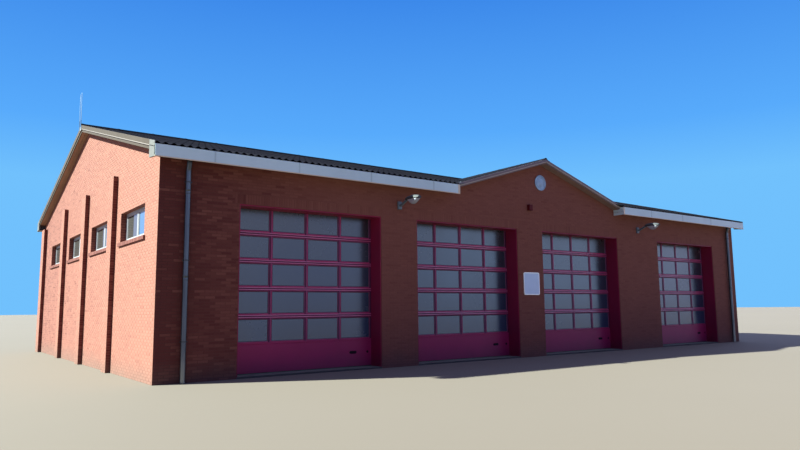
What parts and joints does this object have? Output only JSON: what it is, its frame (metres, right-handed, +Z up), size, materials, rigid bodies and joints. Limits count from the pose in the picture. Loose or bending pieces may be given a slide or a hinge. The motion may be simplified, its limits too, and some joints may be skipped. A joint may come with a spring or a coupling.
{
  "type": "fire station building",
  "caption": "Brick fire station hall with sectional overhead doors in its long front, a small gable over the middle and a low pitched roof of corrugated sheets.",
  "frame": {"origin": "middle of the building's footprint at ground level", "axes": "+X along the front to the right as seen from outside, +Y from the front to the rear, +Z up"},
  "size_m": [24.912, 16.74, 8.4066],
  "materials": {
    "brick": "red-brown facing brick with flush mortar joints",
    "concrete": "power-floated concrete",
    "roof_sheet": "dark corrugated fibre cement",
    "white_board": "painted board",
    "barge_board": "painted board",
    "red_lining": "dark red paint",
    "red_section": "red powder coat",
    "door_glass": "tinted double pane",
    "window_frame": "white window profile",
    "window_glass": "clear double pane",
    "downpipe": "grey rainwater pipe",
    "lamp": "pale grey lamp housing",
    "alarm_box": "dark box",
    "sign_plate": "white plate with a grey edge",
    "badge": "blue-grey disc",
    "antenna": "thin rods",
    "truss_timber": "glued laminated timber",
    "rubber_seal": "black rubber",
    "galvanised": "galvanised steel"
  },
  "bodies": {
    "root": {"alarm_box": "alarm_box", "antenna": "antenna", "cross_bargeboards": "barge_board", "cross_ridge_cap": "roof_sheet", "cross_roof_left": "roof_sheet", "cross_roof_right": "roof_sheet", "door_1_lining": "red_lining", "door_1_sections": "red_section", "door_2_lining": "red_lining", "door_2_sections": "red_section", "door_3_lining": "red_lining", "door_3_sections": "red_section", "door_4_lining": "red_lining", "door_4_sections": "red_section", "door_hinges": "galvanised", "door_panes": "door_glass", "door_seals": "rubber_seal", "door_spring_shafts": "galvanised", "door_tracks": "galvanised", "floor_slab": "concrete", "front_downpipe_left": "downpipe", "front_downpipe_right": "downpipe", "front_fascia_left": "white_board", "front_fascia_right": "white_board", "front_pier_1": "brick", "front_pier_2": "brick", "front_pier_3": "brick", "front_pier_4": "brick", "front_pier_5": "brick", "front_roof_slope": "roof_sheet", "front_wall_head": "brick", "left_bargeboards": "barge_board", "left_gable_wall": "brick", "left_pilasters": "brick", "left_window_frames": "window_frame", "left_window_glass": "window_glass", "left_window_sills": "brick", "main_ridge_cap": "roof_sheet", "rear_downpipes": "downpipe", "rear_fascia": "white_board", "rear_pilasters": "brick", "rear_roof_slope": "roof_sheet", "rear_wall": "brick", "rear_window_frames": "window_frame", "rear_window_glass": "window_glass", "rear_window_sills": "brick", "right_bargeboards": "barge_board", "right_gable_wall": "brick", "right_pilasters": "brick", "right_window_frames": "window_frame", "right_window_glass": "window_glass", "right_window_sills": "brick", "roof_truss_1": "truss_timber", "roof_truss_2": "truss_timber", "roof_truss_3": "truss_timber", "sign_board": "sign_plate", "wall_badge": "badge", "wall_lamp_left": "lamp", "wall_lamp_right": "lamp"}
  },
  "joints": []
}
